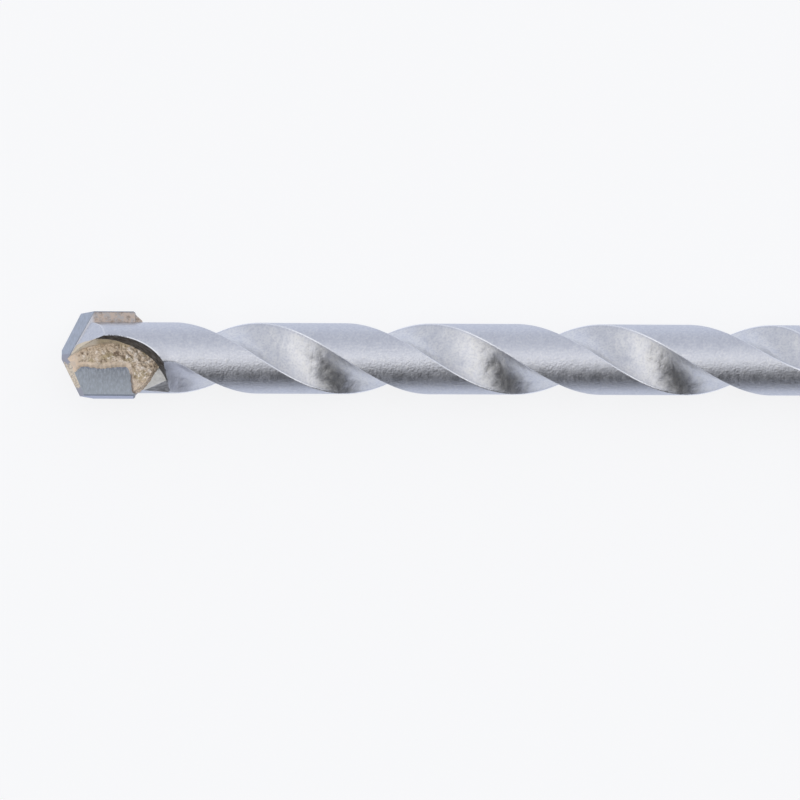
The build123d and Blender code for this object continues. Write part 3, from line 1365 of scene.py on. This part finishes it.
# %% Colour the steel
steel_colour = (0.665, 0.672, 0.7, 1)
flute_tone_and_warm_sheen = (0.83, 0.812, 0.77, 1)
streak_colour = (0.56, 0.565, 0.6, 1)
cooler_waves = (0.3, 0.7, 0.25, 0.6)
dark_streaks = (0.62, 0.3, 0.0, 0.35)
dark_grains = (0.5, 0.35, 0.0, 0.42)
light_grains = (0.55, 0.7, 0.0, 0.3)

# The flutes' warmer colour is partly painted: a warm sheen that stands in for the light they mirror.
flute = mix(tree, step(tree, waves, *cooler_waves), flute_tone_and_warm_sheen, steel_colour)
colour = mix(tree, in_flute, steel_colour, flute)
colour = mix(tree, step(tree, streaks, *dark_streaks), colour, streak_colour)
colour = mix(tree, step(tree, grain, *dark_grains), colour, streak_colour)
colour = mix(tree, step(tree, grain, *light_grains), colour, flute_tone_and_warm_sheen)
print("the lands are", steel_colour[:3], "and the flutes", flute_tone_and_warm_sheen[:3])

# %% [markdown]
# The mouth of each flute is painted greyer, fading away behind it, and behind the end of the gash's
# wall the steel gets a painted shade, but not down on the heel. The wall is painted nearly black,
# part heat stain and part painted shade, with a little more steel showing here and there, and the
# floor between the wall and the heel stays warm.

# %% Paint the flutes' mouths, the shade at the wall's end and the dark wall
greyer_mouth_colour = (0.5, 0.5, 0.55, 1)
soot_and_shade_colour = (0.2, 0.2, 0.21, 1)
floor_colour = (0.56, 0.546, 0.505, 1)
scorch_and_shade_colour = (0.012, 0.012, 0.014, 1)
greyer_mouth_fades = (17.5, 13.0, 0.0, 0.6)
wall_end_shade_reach = 1.3
wall_end_shade_strength = 0.22
wall_end_shade_behind = (11.2, 11.8)
heel_top = (0.9, 1.2)
bare_patches = (0.3, 0.75, 1.0, 0.85)

# The mouth of each flute is painted greyer, fading away behind it.
greyer_mouth = product(tree, in_flute, behind_tip(tree, place, *greyer_mouth_fades))
colour = mix(tree, greyer_mouth, colour, greyer_mouth_colour)
above_heel = step_mm(tree, sides_of(tree, place)[2], *heel_top)
# Painted shade just behind the end of the gash's wall, but not down on the heel.
wall_end_shade = step_mm(tree, beyond, wall_end_shade_reach, 0.0, 0.0, wall_end_shade_strength)
wall_end_shade = product(tree, wall_end_shade, behind_tip(tree, place, *wall_end_shade_behind), above_heel)
colour = mix(tree, wall_end_shade, colour, soot_and_shade_colour)
colour = mix(tree, stored(tree, "gash_floor"), colour, floor_colour)
# Painted near black: the gash's wall, part heat stain and part painted shade of the deep wall.
scorched_and_shaded = stored(tree, "scorched_and_shaded")
scorch_and_shade = product(tree, scorched_and_shaded, step(tree, noise_of(tree, place, 0.5), *bare_patches))
colour = mix(tree, scorch_and_shade, colour, scorch_and_shade_colour)
print("soot reaches", wall_end_shade_reach, "mm past the gash's wall")

# %% [markdown]
# The painted highlights of the edges go on top of that. Along the front half of the gash's rim the
# soot has bitten small dark notches into the highlight line, which noise with a hard change makes.

# %% Brighten the edges
edge_highlight_colour = (0.95, 0.95, 0.95, 1)
notch_size = 0.3
notch_width = (0.17, 0.1)
notch_edge = (0.46, 0.54)
notches_from = (4.6, 5.0)
notches_to = (9.0, 6.5)

# Painted highlight along the edges, the gash's rim, the crease and the flutes' edges.
colour = mix(tree, largest(tree, edges, flute_line), colour, edge_highlight_colour)
bitten = step(tree, noise_of(tree, place, notch_size, detail=1.0), *notch_edge)
notches = product(tree, outside, step_mm(tree, beyond, *notch_width), bitten)
for ends in (notches_to, notches_from):
    notches = product(tree, notches, behind_tip(tree, place, *ends))
colour = mix(tree, notches, colour, soot_and_shade_colour)
print("the notches are", notch_size, "mm long")

# %% [markdown]
# Beside the wing a smear of solder lies on the nose's facet, wide at the plate and running out to
# nothing where the gash's rim begins. It is too thin for a mesh, so it is paint: its width
# shrinks with the distance behind the tip, and noise makes its border ragged.

# %% Smear the solder over the facet
smear_colour = (0.74, 0.63, 0.46, 1)
smear_width = 0.95
smear_ragged = 0.3
smear_border = 0.12
smear_narrows = (0.6, 4.8)
smear_ends = (4.9, 4.4)

reach = behind_tip(tree, place, *smear_narrows, smear_width * MM, 0.0)
ragged = (noise_of(tree, place, 0.5), smear_ragged * MM, -smear_ragged / 2 * MM)
reach = maths(tree, "ADD", reach, maths(tree, "MULTIPLY_ADD", *ragged))
smear = step_mm(tree, maths(tree, "SUBTRACT", reach, beyond), 0.0, smear_border)
smear = product(tree, smear, behind_tip(tree, place, *smear_ends))
colour = mix(tree, smear, colour, smear_colour)
tree.links.new(colour, shader.inputs["Base Color"])
print("the smear starts", smear_width, "mm wide")

# %% [markdown]
# Metal mirrors and scorch doesn't. So the wall that is painted nearly black, part scorch and part
# painted shade, the edges with their painted highlight, and the smear are made less metallic, and
# the flutes and their edges a little smoother than the rest.

# %% Set the steel's gloss
dullest_metal = 0.2
steel_roughness = (0.3, 0.7, 0.38, 0.48)
flute_polish = 0.2
smoother_by = 0.16

dull = largest(tree, scorched_and_shaded, edges, smear)
tree.links.new(step(tree, dull, 0.0, 1.0, 1.0, dullest_metal), shader.inputs["Metallic"])
smooth = largest(tree, flute_line, product(tree, in_flute, flute_polish))
roughness = step(tree, streaks, *steel_roughness)
roughness = maths(tree, "SUBTRACT", roughness, product(tree, smooth, smoother_by))
tree.links.new(roughness, shader.inputs["Roughness"])
paint(steel, steel_paint)

# %% [markdown]
# ## Ground carbide
#
# The plate is ground only where it cuts: its roof-shaped flanks are bright blue-grey, with fine
# lines from the wheel. The wide face that the gash bares is darker and dull, as it came from the
# furnace. The plate keeps the solid's own mesh, so the material tells these faces apart by the
# direction that each one points in. The flank in front of the bared face is the leading one.

# %% Tell the plate's faces apart
plate_middle_y = 0.3
faces_forward = (-0.3, -0.45)
faces_sideways = (0.85, 0.95)

plate_paint, tree, shader = new_material("ground_carbide", Metallic=0.7)
coordinates = node(tree, "TexCoord").outputs
place = coordinates["Object"]
facing = node(tree, "SeparateXYZ", {0: coordinates["Normal"]}).outputs
forward = step(tree, facing["X"], *faces_forward)
sideways = step(tree, maths(tree, "ABSOLUTE", facing["Y"]), *faces_sideways)
across = node(tree, "SeparateXYZ", {0: place}).outputs["Y"]
across = maths(tree, "SUBTRACT", across, plate_middle_y * MM)
out = maths(tree, "ABSOLUTE", across)
wing_side = maths(tree, "SIGN", product(tree, across, facing["Z"]))
leading = product(tree, forward, step(tree, wing_side, 0.5, -0.5))
print("the plate stands", plate_middle_y, "mm off the axis")

# %% [markdown]
# The grinding lines and the furnace's mottle are noise again, stretched along different axes.
# The dull face is mottled with both darker and lighter patches, is rubbed lighter towards its
# outer end and the nose, and keeps a dark fringe along the solder and along its outer edge.

# %% Colour the plate
dull_colour = (0.27, 0.286, 0.3, 1)
rubbed_colour = (0.36, 0.386, 0.405, 1)
fringe_colour = (0.2, 0.22, 0.26, 1)
ground_colour = (0.49, 0.525, 0.585, 1)
leading_colour = (0.4, 0.4, 0.44, 1)
side_colour = (0.53, 0.555, 0.66, 1)
corner_highlight_colour = (0.6, 0.63, 0.7, 1)
line_size = 0.7
mottle_size = 0.32
corner_radius = 0.07
rubbed_out = (1.7, 4.7)
rubbed_nose = (5.0, 2.0, 0.0, 0.6)
light_mottle = (0.45, 0.65, 0.0, 0.5)
dark_mottle = (0.45, 0.32, 0.0, 0.4)
by_solder = (2.3, 1.7)
by_corner = (4.8, 4.9)

lines = noise_of(tree, place, line_size, (6, 1, 1))
mottle = noise_of(tree, place, mottle_size, (1.6, 0.6, 1), detail=3.0, roughness=0.7)
rounded, edges = rounded_edges(tree, corner_radius * MM)
colour = mix(tree, step_mm(tree, out, *rubbed_out), dull_colour, rubbed_colour)
colour = mix(tree, behind_tip(tree, place, *rubbed_nose), colour, rubbed_colour)
colour = mix(tree, step(tree, mottle, *light_mottle), colour, ground_colour)
colour = mix(tree, step(tree, mottle, *dark_mottle), colour, fringe_colour)
fringe = product(tree, step_mm(tree, out, *by_solder), step(tree, mottle, 0.55, 0.4))
fringe = largest(tree, fringe, step_mm(tree, out, *by_corner))
colour = mix(tree, fringe, colour, fringe_colour)
ground = mix(tree, step(tree, lines, 0.35, 0.65, 0.0, 0.5), ground_colour, rubbed_colour)
for share, finish in ((forward, ground), (leading, leading_colour), (sideways, side_colour)):
    colour = mix(tree, share, colour, finish)
# Painted highlight: the plate's corners are painted half-way to a lighter blue-grey.
colour = mix(tree, step(tree, edges, 0.0, 1.0, 0.0, 0.5), colour, corner_highlight_colour)
print("the dull face is", dull_colour[:3], "and the ground flanks", ground_colour[:3])

# %% [markdown]
# Some solder ran over the leading flank and was left there as golden specks on brown. Its two
# ends are ragged, because the mottle's noise is added to the distance that they are cut off at.

# %% Leave solder on the leading flank
speck_colour = (0.79, 0.69, 0.54, 1)
brown_colour = (0.55, 0.45, 0.34, 1)
speck_size = 0.22
solder_from = (1.0, 1.35)
solder_to = (4.2, 3.8)
end_ragged = 1.8
line_depth = 0.012
dust_size = 0.12
dust_depth = 0.006

specks = noise_of(tree, place, speck_size, roughness=0.6)
ragged = maths(tree, "SUBTRACT", out, end_ragged / 2 * MM)
ragged = maths(tree, "MULTIPLY_ADD", mottle, end_ragged * MM, ragged)
soldered = product(tree, step_mm(tree, ragged, *solder_from), step_mm(tree, ragged, *solder_to))
soldered = product(tree, soldered, leading)
brown = product(tree, soldered, step(tree, specks, 0.25, 0.4))
golden = product(tree, soldered, step(tree, specks, 0.36, 0.56))
rubbed = product(tree, soldered, edges)
for share, finish in ((brown, brown_colour), (golden, speck_colour), (rubbed, brown_colour)):
    colour = mix(tree, share, colour, finish)
tree.links.new(colour, shader.inputs["Base Color"])
tree.links.new(step(tree, mottle, 0.3, 0.7, 0.42, 0.55), shader.inputs["Roughness"])
normal = bump(tree, lines, line_depth, rounded)
normal = bump(tree, noise_of(tree, place, dust_size, detail=1.0), dust_depth, normal)
tree.links.new(normal, shader.inputs["Normal"])
paint(plate_node, plate_paint)

# %% [markdown]
# ## Braze metal
#
# The heaps are golden brown with olive patches, painted shade between grains, painted highlights on top.
# The height of the grains was stored with the mesh, so the paint knows where the tops are. Finer
# noise adds specks that are smaller than a grain.

# %% Colour the grains
gap_shade_colour = (0.25, 0.18, 0.12, 1)
gold_colour = (0.69, 0.555, 0.405, 1)
olive_colour = (0.55, 0.44, 0.27, 1)
pale_highlight_colour = (0.93, 0.82, 0.69, 1)
paler_to_tail = 0.04
speck_sizes = (0.13, 0.42, 1.6)

braze_paint, tree, shader = new_material("braze")
place = node(tree, "TexCoord").outputs["Object"]
grain = noise_of(tree, place, speck_sizes[0], roughness=0.6)
patches = noise_of(tree, place, speck_sizes[1], detail=3.0, roughness=0.6)
broad = noise_of(tree, place, speck_sizes[2])
top = stored(tree, "grain_top")
golden = mix(tree, step(tree, broad, 0.48, 0.6), gold_colour, olive_colour)
# Painted shade between the grains, and in dark specks from finer noise.
golden = mix(tree, step(tree, top, 0.5, 0.1), golden, gap_shade_colour)
golden = mix(tree, step(tree, grain, 0.5, 0.35, 0.0, 0.45), golden, gap_shade_colour)
to_tail = behind_tip(tree, place, 4, 8)
patchy = maths(tree, "SUBTRACT", patches, paler_to_tail)
patchy = maths(tree, "MULTIPLY_ADD", to_tail, paler_to_tail, patchy)
# Painted highlights on the grains' tops, more of them towards the tail.
grain_top_highlight = product(tree, step(tree, top, 0.4, 0.75), step(tree, patchy, 0.46, 0.6))
golden = mix(tree, grain_top_highlight, golden, pale_highlight_colour)
print("the grains are", gold_colour[:3], "and their tops", pale_highlight_colour[:3])

# %% [markdown]
# Where the solder ran out smooth it looks different in three places. The slopes are pinkish, with
# a paler ridge along the plate, which is a painted highlight, and stains on the leg beside its tail.
# The film on the plate's sides is brown with grey and dark stains of flux, and greyer where the nose
# was ground. The coat on the gash's wall is olive-gold, and painted pale near the nose: painted
# light on a steep face that would be in shade.

# %% Colour the smooth solder
slope_colour = (0.86, 0.67, 0.49, 1)
slope_grey = (0.72, 0.59, 0.46, 1)
ridge_highlight_colour = (0.98, 0.81, 0.62, 1)
film_colour = (0.58, 0.47, 0.385, 1)
film_grey = (0.48, 0.44, 0.41, 1)
ground_film = (0.66, 0.65, 0.67, 1)
coat_colour = (0.66, 0.57, 0.4, 1)
nose_coat_painted_light = (1.0, 0.93, 0.8, 1)
stain_and_shade_colour = (0.3, 0.23, 0.18, 1)
stain_size = 0.9
ridge_at = (2, 4, 0.0, 0.5)
leg_at = (7.6, 8.3, 0.0, 0.7)
ground_to = (4.0, 3.4)
pale_coat_to = (4.6, 3.6)

stains = noise_of(tree, place, stain_size, detail=3.0, roughness=0.65)
slope = mix(tree, step(tree, patches, 0.4, 0.65), slope_colour, slope_grey)
# Painted highlight: the ridge along the plate is painted paler.
slope = mix(tree, behind_tip(tree, place, *ridge_at), slope, ridge_highlight_colour)
on_leg = behind_tip(tree, place, *leg_at)
slope = mix(tree, product(tree, on_leg, step(tree, grain, 0.55, 0.4)), slope, stain_and_shade_colour)
film = mix(tree, step(tree, patches, 0.4, 0.6), film_colour, film_grey)
film = mix(tree, step(tree, stains, 0.48, 0.64, 0.0, 0.85), film, stain_and_shade_colour)
film = mix(tree, behind_tip(tree, place, *ground_to), film, ground_film)
coat = mix(tree, step(tree, stains, 0.45, 0.65, 0.0, 0.5), coat_colour, stain_and_shade_colour)
coat = mix(tree, step(tree, grain, 0.5, 0.7, 0.0, 0.5), coat, pale_highlight_colour)
# Painted light: the coat is painted pale near the nose, where its steep face would be in shade.
coat = mix(tree, behind_tip(tree, place, *pale_coat_to), coat, nose_coat_painted_light)
print("the film is", film_colour[:3], "and the coat", coat_colour[:3])

# %% [markdown]
# Last, the stored shares say which of these finishes lies where. Grainy solder is a little more
# metallic than the smooth, flux-covered one, and both are fairly rough.

# %% Finish the braze
rough_metal = (0.25, 0.45)
braze_roughness = (0.3, 0.7, 0.35, 0.6)
braze_edge_radius = 0.05
speck_depth = 0.03

# The tail share paints shade, in the stain colour, along the solder's edge beside the plate's tail.
finishes = {"film": film, "grainy": golden, "wall_coat": coat, "stained": stain_and_shade_colour}
colour = slope
for name, finish in finishes.items():
    colour = mix(tree, stored(tree, name), colour, finish)
tree.links.new(colour, shader.inputs["Base Color"])
metallic = step(tree, stored(tree, "grainy"), 0.0, 1.0, *rough_metal)
tree.links.new(metallic, shader.inputs["Metallic"])
tree.links.new(step(tree, grain, *braze_roughness), shader.inputs["Roughness"])
rounded, _ = rounded_edges(tree, braze_edge_radius * MM)
tree.links.new(bump(tree, grain, speck_depth, rounded), shader.inputs["Normal"])
paint(braze, braze_paint)

# %% [markdown]
# ## Finish
#
# The Standard view shows colours as they are written.

# %% Finish
bpy.context.scene.view_settings.view_transform = "Standard"
